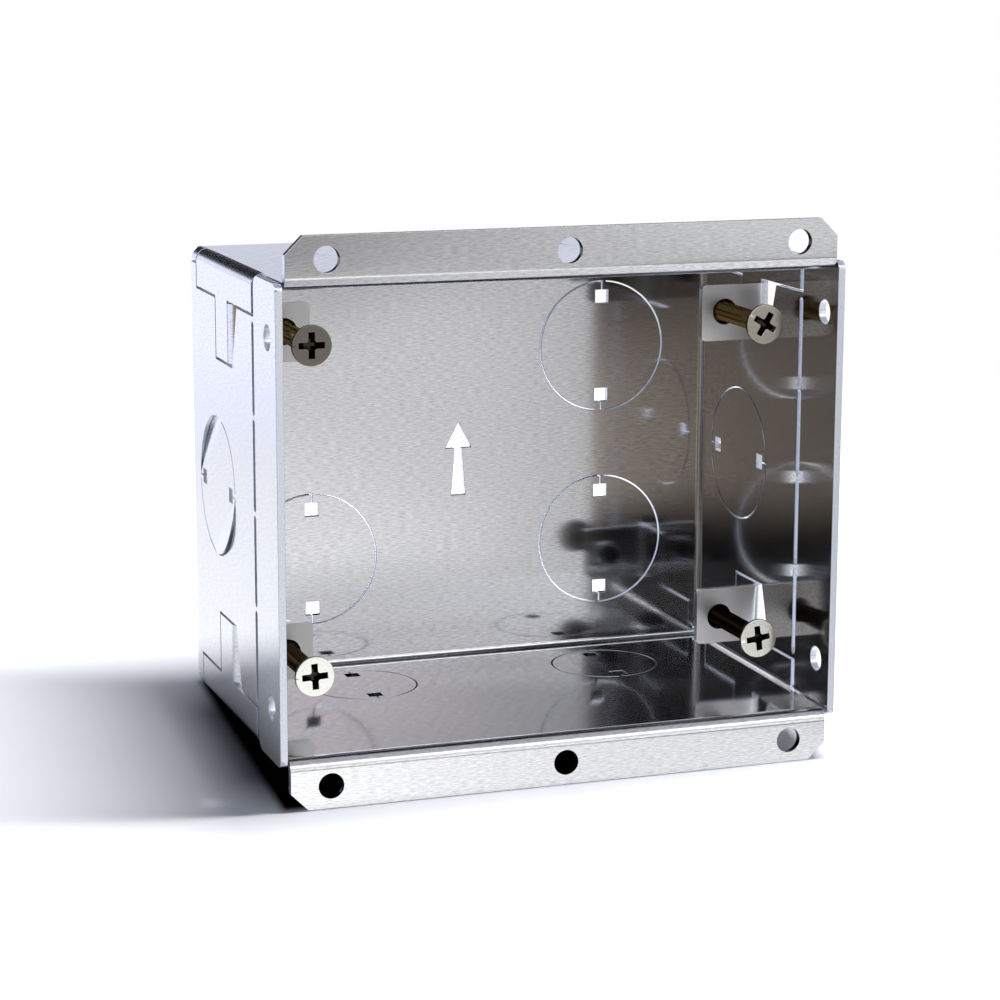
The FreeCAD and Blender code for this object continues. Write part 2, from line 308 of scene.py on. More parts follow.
def sheared_edge(look):
    """Cut edge of the same sheet: bright steel, torn lengthwise by the punch, so it scatters
    light more than the brushed skin. Its bluish tint is painted light, for the bluish light
    that the cut edges catch."""
    material = bpy.data.materials.new("Sheared stainless edge")
    material.use_nodes = True
    tree = material.node_tree
    surface = tree.nodes["Principled BSDF"]
    place = node(tree, "ShaderNodeTexCoord")
    torn = node(tree, "ShaderNodeTexNoise", {"Vector": place.outputs["Object"]},
                Scale=1 / TORN_SIZE, Detail=2.0, Roughness=0.6)
    tone = node(tree, "ShaderNodeMix", {"Factor": torn.outputs["Fac"]},
                settings={"data_type": "RGBA"})
    # Both colours carry a bluish tint of painted light.
    tone.inputs["A"].default_value = look.sheared_shade
    tone.inputs["B"].default_value = look.sheared
    bump = node(tree, "ShaderNodeBump", {"Height": torn.outputs["Fac"]},
                Strength=0.5, Distance=TORN_RELIEF)
    tree.links.new(tone.outputs["Result"], surface.inputs["Base Color"])
    tree.links.new(bump.outputs["Normal"], surface.inputs["Normal"])
    surface.inputs["Metallic"].default_value = 1.0
    surface.inputs["Roughness"].default_value = look.sheared_roughness
    return material


def pressed_tab(look):
    """The same sheet where the press has drawn the screw holes: its dies rub the brushing off
    and leave an even satin grey. Its colour carries painted shade on the left tabs and painted
    light on the right ones, darker and lighter for how light falls on them."""
    material = bpy.data.materials.new("Press-dulled stainless tab")
    material.use_nodes = True
    tree = material.node_tree
    surface = tree.nodes["Principled BSDF"]
    place = node(tree, "ShaderNodeTexCoord").outputs["Object"]
    x = node(tree, "ShaderNodeSeparateXYZ", {"Vector": place}).outputs["X"]
    # Painted shade on the left tabs, painted light on the right ones.
    colours = layered(tree, look.left_tab_painted_shade, [([ramp(tree, x, -MM, MM)], look.right_tab_painted_light)])
    tree.links.new(colours, surface.inputs["Base Color"])
    surface.inputs["Metallic"].default_value = 1.0
    surface.inputs["Roughness"].default_value = look.tab_roughness
    return material


def punched_hole(look):
    """Wall of the flanges' punched holes, coloured dark: painted shade inside the holes."""
    material = bpy.data.materials.new("Hole wall with painted shade")
    material.use_nodes = True
    surface = material.node_tree.nodes["Principled BSDF"]
    # Painted shade: the hole wall is coloured dark.
    surface.inputs["Base Color"].default_value = look.hole
    surface.inputs["Metallic"].default_value = 1.0
    surface.inputs["Roughness"].default_value = look.sheared_roughness
    return material


def nickel_plate(look):
    """Nickel-plated steel, barrel plated: a warm grey metal, satin on the head. Light and shade
    are painted into its colour by place: the upper heads are darker, the upper left one
    darker still, the recess and the rim carry painted shade, and the threads are painted
    black, brown or golden brown. The golden brown is a painted reflection of the thread in
    itself."""
    material = bpy.data.materials.new("Nickel-plated steel")
    material.use_nodes = True
    tree = material.node_tree
    surface = tree.nodes["Principled BSDF"]
    place = node(tree, "ShaderNodeTexCoord")
    grit = node(tree, "ShaderNodeTexNoise", {"Vector": place.outputs["Object"]},
                Scale=1 / GRIT_SIZE, Detail=3.0, Roughness=0.6)
    x, y, z = node(tree, "ShaderNodeSeparateXYZ", {"Vector": place.outputs["Object"]}).outputs
    depth = math_node(tree, "SUBTRACT", y, SCREW_LOW.y)
    left, upper = ramp(tree, x, MM, -MM), ramp(tree, z, -MM, MM)
    spots = ramp(tree, grit.outputs["Fac"], *GRIT_SPOTS)
    sunk = ramp(tree, depth, *SUNK)
    behind = ramp(tree, depth, *BEHIND_HEAD)
    # Painted light and shade by place: upper heads darker, the upper left darkest, painted shade
    # in the recess and at the rim, painted shade and reflection on the threads.
    colours = layered(tree, look.plating, [
        ([spots], look.shade), ([upper], look.upper_head_shade), ([upper, left], look.upper_left_head_shade),
        ([sunk], look.recess), ([behind], look.shank), ([behind, left], look.left_thread_shade),
        ([behind, upper], look.upper_thread_reflection)])
    bump = node(tree, "ShaderNodeBump", {"Height": grit.outputs["Fac"]},
                Strength=0.3, Distance=GRIT_RELIEF)
    tree.links.new(colours, surface.inputs["Base Color"])
    tree.links.new(bump.outputs["Normal"], surface.inputs["Normal"])
    surface.inputs["Metallic"].default_value = 1.0
    surface.inputs["Roughness"].default_value = look.roughness
    return material


# The folded sheet


def thickness_behind(mesh):
    """Depth of metal straight behind each face of a mesh, under its largest triangle; it is
    endless where a ray leaves the mesh without meeting another face."""
    corners = [v.co for v in mesh.vertices]
    mesh.calc_loop_triangles()
    tree = BVHTree.FromPolygons(corners, [tuple(t.vertices) for t in mesh.loop_triangles])
    largest = {}
    for part in mesh.loop_triangles:
        best = largest.get(part.polygon_index)
        if best is None or part.area > best.area:
            largest[part.polygon_index] = part
    depths = []
    for face in mesh.polygons:
        middle = sum((corners[v] for v in largest[face.index].vertices), Vector()) / 3
        inside = middle - face.normal * JUST_INSIDE
        _, _, _, depth = tree.ray_cast(inside, -face.normal)
        depths.append(math.inf if depth is None else depth)
    return depths


def grain_map(mesh):
    """UV map in metres with U along the grain: X on the back, the flanges, the top and the
    bottom, and Y on the sides, because the box is folded from one brushed sheet. The top and
    the inner sides are mostly seen at a shallow angle, so their lines are drawn wider."""
    layer = mesh.uv_layers.new(name="grain")
    for face in mesh.polygons:
        n = [abs(c) for c in face.normal]
        if n[0] >= max(n):
            axes = 1, 2
        elif n[1] >= max(n):
            axes = 0, 2
        else:
            axes = 0, 1
        narrow = 1.0
        if face.normal.z > FACING and face.center.z > 0:
            narrow = TOP_NARROW
        elif abs(face.normal.x) > FACING and face.normal.x * face.center.x < 0:
            narrow = INNER_NARROW
        for loop in face.loop_indices:
            co = mesh.vertices[mesh.loops[loop].vertex_index].co
            layer.data[loop].uv = co[axes[0]], co[axes[1]] * narrow


def make_sheet(look):
    """The folded sheet: the CAD solid with its sheared edges rounded."""
    bm = bmesh.new()
    bm.from_mesh(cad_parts["box"].data)
    bmesh.ops.remove_doubles(bm, verts=bm.verts, dist=SAME_POINT)
    bmesh.ops.dissolve_limit(bm, angle_limit=SAME_PLANE, verts=bm.verts, edges=bm.edges)
    rounded = bm.edges.layers.float.new("bevel_weight_edge")
    for rim in bm.edges:
        faces = rim.link_faces
        if len(faces) != 2:
            continue
        turn = rim.calc_face_angle()
        middle = (rim.verts[0].co + rim.verts[1].co) / 2
        bent = middle.x < 0 and (middle.yz - Vector(BENT_KNOCKOUT)).length < BENT_REACH
        rim[rounded] = float(turn > SHARP and not bent)
        large = max(f.calc_area() for f in faces) > look.flat_area
        rim.smooth = not bent or turn < (SHALLOW if large else SHARP)
    plain = BVHTree.FromBMesh(bm)
    carrier = carrier_for("sheet_blank", bm)
    edge = carrier.modifiers.new("rounded edges", "BEVEL")
    edge.width = look.edge_round
    edge.segments = 2
    edge.limit_method = "WEIGHT"
    edge.use_clamp_overlap = False
    edge.harden_normals = True
    flatten(carrier)
    mesh = applied(carrier, "folded_sheet")
    # where many edges meet, the rounding throws a few points out: they go back to the sheet
    for corner in mesh.vertices:
        nearest, _, _, gap = plain.find_nearest(corner.co)
        if gap > look.edge_round:
            corner.co = nearest
    mesh.materials.clear()
    piece = add_piece("folded_sheet", mesh)
    materials = {
        BRUSHED: brushed_sheet(look, "Brushed stainless sheet", look.roughness, look.anisotropy),
        SHEARED: sheared_edge(look), TAB: pressed_tab(look), HOLE_WALL: punched_hole(look),
        FOLD: brushed_sheet(look, "Stretched stainless fold", look.fold_roughness,
                            look.fold_anisotropy)}
    for slot in sorted(materials):
        mesh.materials.append(materials[slot])
    slots = []
    for face, depth in zip(mesh.polygons, thickness_behind(mesh)):
        middle, out = face.center, face.normal
        to_hole = min(math.dist((middle.x, abs(middle.z)), hole) for hole in FLANGE_HOLES)
        if out.y < -TAB_SQUARE and TAB_FRONT[0] < middle.y < TAB_FRONT[1]:
            slots.append(TAB)
        elif to_hole < HOLE_REACH:
            # walls of the flanges' holes get the material with painted shade
            slots.append(HOLE_WALL if abs(out.y) < WALL_SQUARE else BRUSHED)
        elif abs(depth - SHEET) > THICKNESS_SLACK * SHEET:
            slots.append(SHEARED)
        else:
            folded = max(abs(c) for c in out) < FLAT_SQUARE and face.area < look.flat_area
            slots.append(FOLD if folded else BRUSHED)
    mesh.polygons.foreach_set("material_index", slots)
    grain_map(mesh)
    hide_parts("box")
    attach(piece, BODY)
    return piece


# The screws


def tapered_block(bm, top, low, depth, turn):
    """Adds a block to a bmesh: a rectangle at y = 0 that narrows to another one at y = depth."""
    rings = []
    # the wide end is carried on past the face, along the same slant
    for share in (-CUTTER_OUT, 1.0):
        wide, high = [t + (l - t) * share for t, l in zip(top, low)]
        rings.append([bm.verts.new(Matrix.Rotation(turn, 3, "Y") @
                                   Vector((sx * wide / 2, share * depth, sz * high / 2)))
                      for sx, sz in ((-1, -1), (1, -1), (1, 1), (-1, 1))])
    near, far = rings
    bm.faces.new(near)
    bm.faces.new(reversed(far))
    for i in range(4):
        bm.faces.new((near[i], far[i], far[(i + 1) % 4], near[(i + 1) % 4]))


def screw_head(look):
    """Countersunk head on the Y axis with its face at y = 0, and the cross recess cut in."""
    radius, root = look.head / 2, look.root / 2
    # the cone falls away at 45 degrees
    cone = look.rim + radius - root
    profile = [(0, 0), (radius - RIM_ROUND, 0), (radius - RIM_CORNER, RIM_CORNER),
               (radius, RIM_ROUND), (radius, look.rim), (root + NECK, cone - NECK),
               (root, cone + NECK_PAST), (0, cone + NECK_PAST)]
    bm = bmesh.new()
    chain = [bm.verts.new((x, y, 0)) for x, y in profile]
    edges = [bm.edges.new(pair) for pair in zip(chain, chain[1:])]
    bmesh.ops.spin(bm, geom=chain + edges, cent=(0, 0, 0), axis=(0, 1, 0),
                   angle=math.tau, steps=HEAD_FACES, use_merge=True)
    bmesh.ops.remove_doubles(bm, verts=bm.verts, dist=SAME_POINT)
    bmesh.ops.recalc_face_normals(bm, faces=bm.faces)
    carrier = carrier_for("head_blank", bm)
    wing = (look.cross, look.wing), WING_FLOOR
    core = CORE_FACE, CORE_FLOOR
    cutters = []
    for turn, (top, low) in ((0, wing), (90, wing), (45, core)):
        bm = bmesh.new()
        tapered_block(bm, top, low, RECESS_DEPTH, math.radians(turn))
        bmesh.ops.recalc_face_normals(bm, faces=bm.faces)
        cutters.append(carrier_for("recess_cutter", bm))
        cut = carrier.modifiers.new("recess", "BOOLEAN")
        cut.operation = "DIFFERENCE"
        cut.solver = "EXACT"
        cut.object = cutters[-1]
    plain = carrier.modifiers.new("plain faces", "DECIMATE")
    plain.decimate_type = "DISSOLVE"
    plain.angle_limit = HEAD_PLANE
    soft = carrier.modifiers.new("soft edges", "BEVEL")
    soft.width = HEAD_SOFT
    soft.segments = 2
    soft.limit_method = "ANGLE"
    soft.angle_limit = HEAD_SHARP
    mesh = applied(carrier, "screw_head")
    for cutter in cutters:
        bpy.data.objects.remove(cutter)
    return mesh


def thread_tree(material):
    """Geometry nodes for a threaded shank behind the head that comes in: a sheet of points
    wound along the thread's own helix, its rows in turn at the root and at the crest, drawn
    in to the axis at both ends."""
    tree = bpy.data.node_groups.new("Threaded shank", "GeometryNodeTree")
    tree.interface.new_socket("Geometry", in_out="INPUT", socket_type="NodeSocketGeometry")
    for name in ("Start", "End", "Root Radius", "Crest Radius", "Pitch"):
        tree.interface.new_socket(name, in_out="INPUT", socket_type="NodeSocketFloat")
    tree.interface.new_socket("Turn", in_out="INPUT", socket_type="NodeSocketRotation")
    tree.interface.new_socket("Place", in_out="INPUT", socket_type="NodeSocketVector")
    tree.interface.new_socket("Geometry", in_out="OUTPUT", socket_type="NodeSocketGeometry")
    given = node(tree, "NodeGroupInput").outputs
    start, end, root = given["Start"], given["End"], given["Root Radius"]
    pitch = given["Pitch"]
    first = math_node(tree, "SUBTRACT", start, root)
    span = math_node(tree, "ADD", math_node(tree, "SUBTRACT", end, first), root)
    turns = math_node(tree, "CEIL", math_node(tree, "DIVIDE", span, pitch))
    rows = math_node(tree, "MULTIPLY", turns, 2.0)
    sheet = node(tree, "GeometryNodeMeshGrid",
                 {"Vertices Y": math_node(tree, "ADD", rows, 1.0)},
                 Size_X=1.0, Size_Y=1.0, Vertices_X=THREAD_POINTS)
    at = node(tree, "ShaderNodeSeparateXYZ",
              {"Vector": node(tree, "GeometryNodeInputPosition").outputs["Position"]}).outputs
    around = math_node(tree, "ADD", at["X"], 0.5)
    along = math_node(tree, "ADD", at["Y"], 0.5)
    row = math_node(tree, "ROUND", math_node(tree, "MULTIPLY", along, rows))
    wound = math_node(tree, "ADD", math_node(tree, "MULTIPLY", row, 0.5), around)
    raw = math_node(tree, "ADD", first, math_node(tree, "MULTIPLY", wound, pitch))
    height = math_node(tree, "MINIMUM", math_node(tree, "MAXIMUM", raw, start), end)
    crest = math_node(tree, "MODULO", row, 2.0)
    depth = math_node(tree, "SUBTRACT", given["Crest Radius"], root)
    ridge = math_node(tree, "ADD", root, math_node(tree, "MULTIPLY", crest, depth))
    inlet = math_node(tree, "ADD", root, math_node(tree, "SUBTRACT", raw, start))
    tip = math_node(tree, "ADD", root, math_node(tree, "SUBTRACT", end, raw))
    ends = math_node(tree, "MINIMUM", inlet, tip)
    radius = math_node(tree, "MAXIMUM", math_node(tree, "MINIMUM", ridge, ends), 0.0)
    angle = math_node(tree, "MULTIPLY", around, math.tau)
    spot = node(tree, "ShaderNodeCombineXYZ", {
        "X": math_node(tree, "MULTIPLY", radius, math_node(tree, "SINE", angle)),
        "Y": height,
        "Z": math_node(tree, "MULTIPLY", radius, math_node(tree, "COSINE", angle))})
    wind = node(tree, "GeometryNodeSetPosition", {"Geometry": sheet.outputs["Mesh"],
                                                  "Position": spot.outputs["Vector"]})
    closed = node(tree, "GeometryNodeMergeByDistance", {"Geometry": wind.outputs["Geometry"]},
                  Distance=THREAD_MERGE)
    whole = node(tree, "GeometryNodeJoinGeometry")
    tree.links.new(closed.outputs["Geometry"], whole.inputs["Geometry"])
    tree.links.new(given["Geometry"], whole.inputs["Geometry"])
    put = node(tree, "GeometryNodeTransform", {"Geometry": whole.outputs["Geometry"],
                                               "Translation": given["Place"],
                                               "Rotation": given["Turn"]})
    real = node(tree, "GeometryNodeRealizeInstances", {"Geometry": put.outputs["Geometry"]})
    soft = node(tree, "GeometryNodeSetShadeSmooth", {"Geometry": real.outputs["Geometry"]})
    turn = node(tree, "GeometryNodeInputMeshEdgeAngle").outputs["Unsigned Angle"]
    crisp = node(tree, "GeometryNodeSetShadeSmooth", {
        "Geometry": soft.outputs["Geometry"],
        "Selection": math_node(tree, "GREATER_THAN", turn, SHARP)},
        {"domain": "EDGE"}, Shade_Smooth=False)
    coat = node(tree, "GeometryNodeSetMaterial", {"Geometry": crisp.outputs["Geometry"]})
    coat.inputs["Material"].default_value = material
    node(tree, "NodeGroupOutput", {"Geometry": coat.outputs["Geometry"]})
    return tree


def make_screws(look):
    """The four cover screws, each in the place of its CAD solid."""
    material = nickel_plate(look)
    tree = thread_tree(material)
    head = screw_head(look)
    sockets = {s.name: s.identifier for s in tree.interface.items_tree if s.in_out == "INPUT"}
    length = SCREW_HIGH.y - SCREW_LOW.y
    for name, turn in SCREWS.items():
        low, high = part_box(name)
        carrier = bpy.data.objects.new(name + "_blank", head.copy())
        bpy.context.scene.collection.objects.link(carrier)
        thread = carrier.modifiers.new("thread", "NODES")
        thread.node_group = tree
        for key, value in (("Start", look.rim + (look.head - look.root) / 2), ("End", length),
                           ("Root Radius", look.root / 2), ("Crest Radius", look.thread / 2),
                           ("Pitch", look.pitch)):
            thread[sockets[key]] = value
        thread[sockets["Turn"]] = (0.0, -math.radians(turn), 0.0)
        thread[sockets["Place"]] = ((low.x + high.x) / 2, low.y, (low.z + high.z) / 2)
        flatten(carrier)
        piece = add_piece(name + "_threaded", applied(carrier, name + "_threaded"))
        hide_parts(name)
        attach(piece, BODY)


# The stage


def make_camera():
    """The camera of the photograph, as fitted to it."""
    a, e, r = (math.radians(v) for v in (VIEW_AZIMUTH, VIEW_ELEVATION, VIEW_ROLL))
    forward = Vector((math.sin(a) * math.cos(e), math.cos(a) * math.cos(e), -math.sin(e)))
    right = Vector((math.cos(a), -math.sin(a), 0))
    up = right.cross(forward)
    right, up = right * math.cos(r) + up * math.sin(r), up * math.cos(r) - right * math.sin(r)
    data = bpy.data.cameras.new("view")
    data.sensor_width = SENSOR
    data.lens = FOCAL_PIXELS * SENSOR / IMAGE_PIXELS
    data.clip_start = CLIP_START * MM
    camera = bpy.data.objects.new("view", data)
    place = Matrix((right, up, -forward)).transposed().to_4x4()
    place.translation = (Vector(VIEW_TARGET) - forward * VIEW_DISTANCE) * MM
    camera.matrix_world = place
    bpy.context.scene.collection.objects.link(camera)
    bpy.context.scene.camera = camera


def make_world(look):
    """White for the camera, a dim even sky for the floor, and for the metal a studio painted
    by direction: x, y and z are those of a unit vector, and each layer has the ramps that
    limit it and its colour. It is pale to the right and behind, dark to the left of the
    camera, and brightest in a ring below the ceiling's middle."""
    world = bpy.data.worlds.new("studio")
    bpy.context.scene.world = world
    world.use_nodes = True
    tree = world.node_tree
    tree.nodes.clear()
    way = node(tree, "ShaderNodeTexCoord").outputs["Generated"]
    x, y, z = node(tree, "ShaderNodeSeparateXYZ", {"Vector": way}).outputs
    left, ahead = ramp(tree, x, 0.1, -0.1), ramp(tree, y, 0.1, -0.1)
    behind = ramp(tree, y, -0.3, 0.1)
    brown = [ahead, left, ramp(tree, z, 0.02, -0.04), ramp(tree, z, -0.206, -0.192)]
    colours = layered(tree, linear("C6C6C6"), [
        # in front and to the right: grey wall, brighter low down, then the floor
        ([ramp(tree, z, -0.06, -0.09), ramp(tree, x, 0.42, 0.22)], linear("868483")),
        ([ramp(tree, z, -0.1, -0.13), ramp(tree, x, 0.31, 0.36)], linear("B8B8B8")),
        ([ramp(tree, z, -0.11, -0.148), ramp(tree, x, 0.36, 0.31)], linear("C5C4C4")),
        ([ramp(tree, z, -0.16, -0.235), ramp(tree, x, 0.36, 0.24)], linear("E6E6E6")),
        ([ramp(tree, z, -0.217, -0.23), ramp(tree, z, -0.25, -0.24), ramp(tree, x, 0.42, 0.3)],
         linear("C0C0C0")),
        ([ramp(tree, z, -0.19, -0.23), ramp(tree, x, 0.3, 0.36)], linear("B4B4B4")),
        ([ramp(tree, x, 0.35, 0.4), ramp(tree, z, -0.11, -0.135), ramp(tree, z, -0.25, -0.235)],
         linear("848484")),
        ([ramp(tree, z, -0.24, -0.28)], linear("DEDEDE")),
        ([ramp(tree, z, -0.24, -0.28), ramp(tree, x, 0.36, 0.24)], linear("FFFFFF")),
        ([ramp(tree, z, -0.36, -0.42), ramp(tree, x, 0.42, 0.22)], linear("989898")),
        ([ramp(tree, z, -0.14, -0.28), ramp(tree, x, 0.5, 0.65)], linear("A2A2A4")),
        # above the horizon: white, a duller stretch, white
        ([ramp(tree, z, -0.07, -0.03)], linear("F4F4F4")),
        ([ramp(tree, z, 0.14, 0.17)], linear("CFC8CA")),
        ([ramp(tree, z, 0.14, 0.17), ramp(tree, x, 0.25, 0.34)], linear("909090")),
        ([ramp(tree, z, 0.14, 0.17), ramp(tree, z, 0.256, 0.248)], linear("DCDCDC")),
        ([ramp(tree, z, 0.3, 0.36)], linear("F4F4F4")),
        # in front and to the left: dark between ceiling and floor, with brown stretches below
        # the horizon, a narrow pale one above it and a grey brown one at the far left
        ([ahead, left, ramp(tree, z, -0.45, -0.38), ramp(tree, z, 0.36, 0.3)], linear("020305")),
        (brown, linear("5B544C")),
        (brown + [ramp(tree, x, -0.405, -0.392)], linear("3E3932")),
        (brown + [ramp(tree, x, -0.391, -0.38), ramp(tree, z, -0.12, -0.17)], linear("A3978A")),
        ([ahead, left, ramp(tree, z, 0.232, 0.24), ramp(tree, z, 0.254, 0.248),
          ramp(tree, x, -0.378, -0.366)], linear("A5A09C")),
        ([ahead, ramp(tree, x, -0.5, -0.7), ramp(tree, z, -0.3, -0.2), ramp(tree, z, 0.36, 0.3)],
         linear("84786A")),
        # behind the box: pale, brown to the left, dark higher up
        ([behind], linear("E2E5FA")),
        ([behind, ramp(tree, x, -0.05, 0.1)], linear("B5B7C4")),
        ([behind, ramp(tree, x, -0.34, -0.38), ramp(tree, x, -0.54, -0.5)], linear("48423B")),
        ([ramp(tree, y, 0.0, 0.2), ramp(tree, z, 0.135, 0.16)], linear("101216")),
        # overhead: a white ring, then the ceiling's greyer middle
        ([ramp(tree, z, 0.5, 0.65)], linear("FFFFFF")),
        ([ramp(tree, z, 0.6, 0.7)], linear("7C7C80"))])
    strength = math_node(tree, "ADD", look.studio,
                         math_node(tree, "MULTIPLY", ramp(tree, z, 0.4, 0.55), look.ceiling))
    metal = node(tree, "ShaderNodeBackground", {"Color": colours, "Strength": strength})
    sky = node(tree, "ShaderNodeBackground", Color=linear("E2E9FC"), Strength=look.sky)
    white = node(tree, "ShaderNodeBackground", Color=(1, 1, 1, 1), Strength=1.0)
    path = node(tree, "ShaderNodeLightPath").outputs
    lit = node(tree, "ShaderNodeMixShader", {0: path["Is Glossy Ray"], 1: sky.outputs[0],
                                             2: metal.outputs[0]})
    seen = node(tree, "ShaderNodeMixShader", {0: path["Is Camera Ray"], 1: lit.outputs[0],
                                              2: white.outputs[0]})
    node(tree, "ShaderNodeOutputWorld", {"Surface": seen.outputs[0]})


def make_floor(look):
    """Pale matt floor that keeps the shadow. Away from the box it melts into the white
    background. The metal sees it beside and behind the box only, dark where the two meet."""
    (y0, z0), (y1, z1) = FLOOR_FRONT, FLOOR_BACK
    tilt = math.atan2(z1 - z0, y1 - y0)
    turn = Matrix.Rotation(tilt, 4, "X")
    turn.translation = Vector((0, y0, z0)) * MM
    bm = bmesh.new()
    bmesh.ops.create_grid(bm, x_segments=1, y_segments=1, size=look.floor_size / 2, matrix=turn)
    floor = carrier_for("floor", bm)
    material = bpy.data.materials.new("White floor board")
    material.use_nodes = True
    tree = material.node_tree
    tree.nodes.clear()
    place = node(tree, "ShaderNodeTexCoord").outputs["Object"]
    away = node(tree, "ShaderNodeVectorMath", {0: place}, settings={"operation": "LENGTH"})
    far = ramp(tree, away.outputs["Value"], *FLOOR_MELT)
    across, depth, _ = node(tree, "ShaderNodeSeparateXYZ", {"Vector": place}).outputs
    gone = math_node(tree, "MAXIMUM", far, ramp(tree, depth, *FLOOR_CLEAR))
    below, beside = [
        [ramp(tree, across, *left), ramp(tree, across, *SHADOW_RIGHT),
         ramp(tree, depth, *front), ramp(tree, depth, *back)]
        for left, front, back in ((BELOW_LEFT, BELOW_FRONT, BELOW_BACK),
                                  (BESIDE_LEFT, BESIDE_FRONT, BESIDE_BACK))]
    shade = layered(tree, look.floor, [(beside, look.beside), (below, look.below)])
    matt = node(tree, "ShaderNodeBsdfDiffuse", {"Color": shade})
    white = node(tree, "ShaderNodeEmission", Color=(1, 1, 1, 1), Strength=1.0)
    board = node(tree, "ShaderNodeMixShader", {0: far, 1: matt.outputs[0], 2: white.outputs[0]})
    clear = node(tree, "ShaderNodeBsdfTransparent")
    seen = node(tree, "ShaderNodeMixShader", {0: gone, 1: matt.outputs[0], 2: clear.outputs[0]})
    path = node(tree, "ShaderNodeLightPath").outputs
    both = node(tree, "ShaderNodeMixShader", {0: path["Is Camera Ray"], 1: seen.outputs[0],
                                              2: board.outputs[0]})
    node(tree, "ShaderNodeOutputMaterial", {"Surface": both.outputs[0]})
    floor.data.materials.append(material)


def make_lamp(look):
    """Strip soft box overhead, reaching to the camera's right: its narrow width keeps the
    shadow's front and back edges crisp, and its length fades the shadow out to the left."""
    data = bpy.data.lights.new("overhead strip", "AREA")
    data.shape = "RECTANGLE"
    data.size = look.lamp_length
    data.size_y = look.lamp_width
    data.energy = look.lamp_power
    lamp = bpy.data.objects.new("overhead strip", data)
    lamp.visible_glossy = False
    turn = -math.radians(VIEW_AZIMUTH)
    along = Vector((math.cos(turn), math.sin(turn), 0))
    lamp.rotation_euler = (0, 0, turn)
    lamp.location = along * look.lamp_offset + Vector((0, look.lamp_back, look.lamp_height))
    bpy.context.scene.collection.objects.link(lamp)


def make_stage(look):
    """Camera, studio, floor and lamp."""
    make_camera()
    make_world(look)
    make_floor(look)
    make_lamp(look)
    bpy.context.scene.view_settings.view_transform = "Standard"


# The add-on


class SheetLook(bpy.types.PropertyGroup):
    steel: FloatVectorProperty(
        name="Steel", description="Colour of the sheet between the brushed lines",
        default=linear("E5E6E9"), size=4, subtype="COLOR", min=0, max=1)
    dark_line: FloatVectorProperty(
        name="Brushed line", description="Colour down in the brushed lines",
        default=linear("BABABD"), size=4, subtype="COLOR", min=0, max=1)
    # Both cut edge colours carry a bluish tint of painted light.
    sheared: FloatVectorProperty(
        name="Sheared edge", description="Colour of the torn metal at a cut edge",
        default=linear("E8ECF5"), size=4, subtype="COLOR", min=0, max=1)
    sheared_shade: FloatVectorProperty(
        name="Sheared edge's shade", description="Colour of its duller spots",
        default=linear("BAC1D0"), size=4, subtype="COLOR", min=0, max=1)
    # Painted shade: the left tabs are coloured darker for how light falls on them.
    left_tab_painted_shade: FloatVectorProperty(
        name="Left tabs", description="Colour of the two left screw tabs",
        default=linear("B0B0B0"), size=4, subtype="COLOR", min=0, max=1)
    # Painted light: the right tabs are coloured lighter for how light falls on them.
    right_tab_painted_light: FloatVectorProperty(
        name="Right tabs", description="Colour of the two right screw tabs",
        default=linear("F8F8F8"), size=4, subtype="COLOR", min=0, max=1)
    # Painted shade: the walls of the flanges' holes are coloured dark.
    hole: FloatVectorProperty(
        name="Hole wall", description="Colour of the flange holes' walls",
        default=linear("55585C"), size=4, subtype="COLOR", min=0, max=1)
    roughness: FloatProperty(
        name="Roughness", description="Roughness of the brushed skin",
        default=0.08, min=0.05, max=1, subtype="FACTOR")
    sheared_roughness: FloatProperty(
        name="Sheared roughness", description="Roughness of a cut edge",
        default=0.25, min=0.05, max=1, subtype="FACTOR")
    tab_roughness: FloatProperty(
        name="Tab roughness", description="Roughness of the screw tabs",
        default=0.38, min=0.05, max=1, subtype="FACTOR")
    anisotropy: FloatProperty(
        name="Anisotropy", description="How far the grain smears highlights",
        default=0.9, min=0, max=1, subtype="FACTOR")
    fold_roughness: FloatProperty(
        name="Fold roughness", description="Roughness where the sheet is folded",
        default=0.2, min=0.05, max=1, subtype="FACTOR")
    fold_anisotropy: FloatProperty(
        name="Fold anisotropy", description="How far the grain still smears highlights there",
        default=0.3, min=0, max=1, subtype="FACTOR")
    grain_length: FloatProperty(
        name="Grain length", description="Length of a brushed line",
        default=1.7 * MM, unit="LENGTH", precision=5)
    grain_width: FloatProperty(
        name="Grain width", description="Width of a brushed line",
        default=0.2 * MM, unit="LENGTH", precision=5)
    grain_depth: FloatProperty(
        name="Grain depth", description="How strongly the brushed lines are felt",
        default=0.02, min=0, max=1, subtype="FACTOR")
    flat_area: FloatProperty(
        name="Flat area", description="Flat faces above this area meet at a crease, however "
        "shallow", default=60 * MM * MM, unit="AREA", precision=7)
    edge_round: FloatProperty(
        name="Edge rounding", description="Rounding of the sheared edges",
        default=0.08 * MM, unit="LENGTH", precision=5)


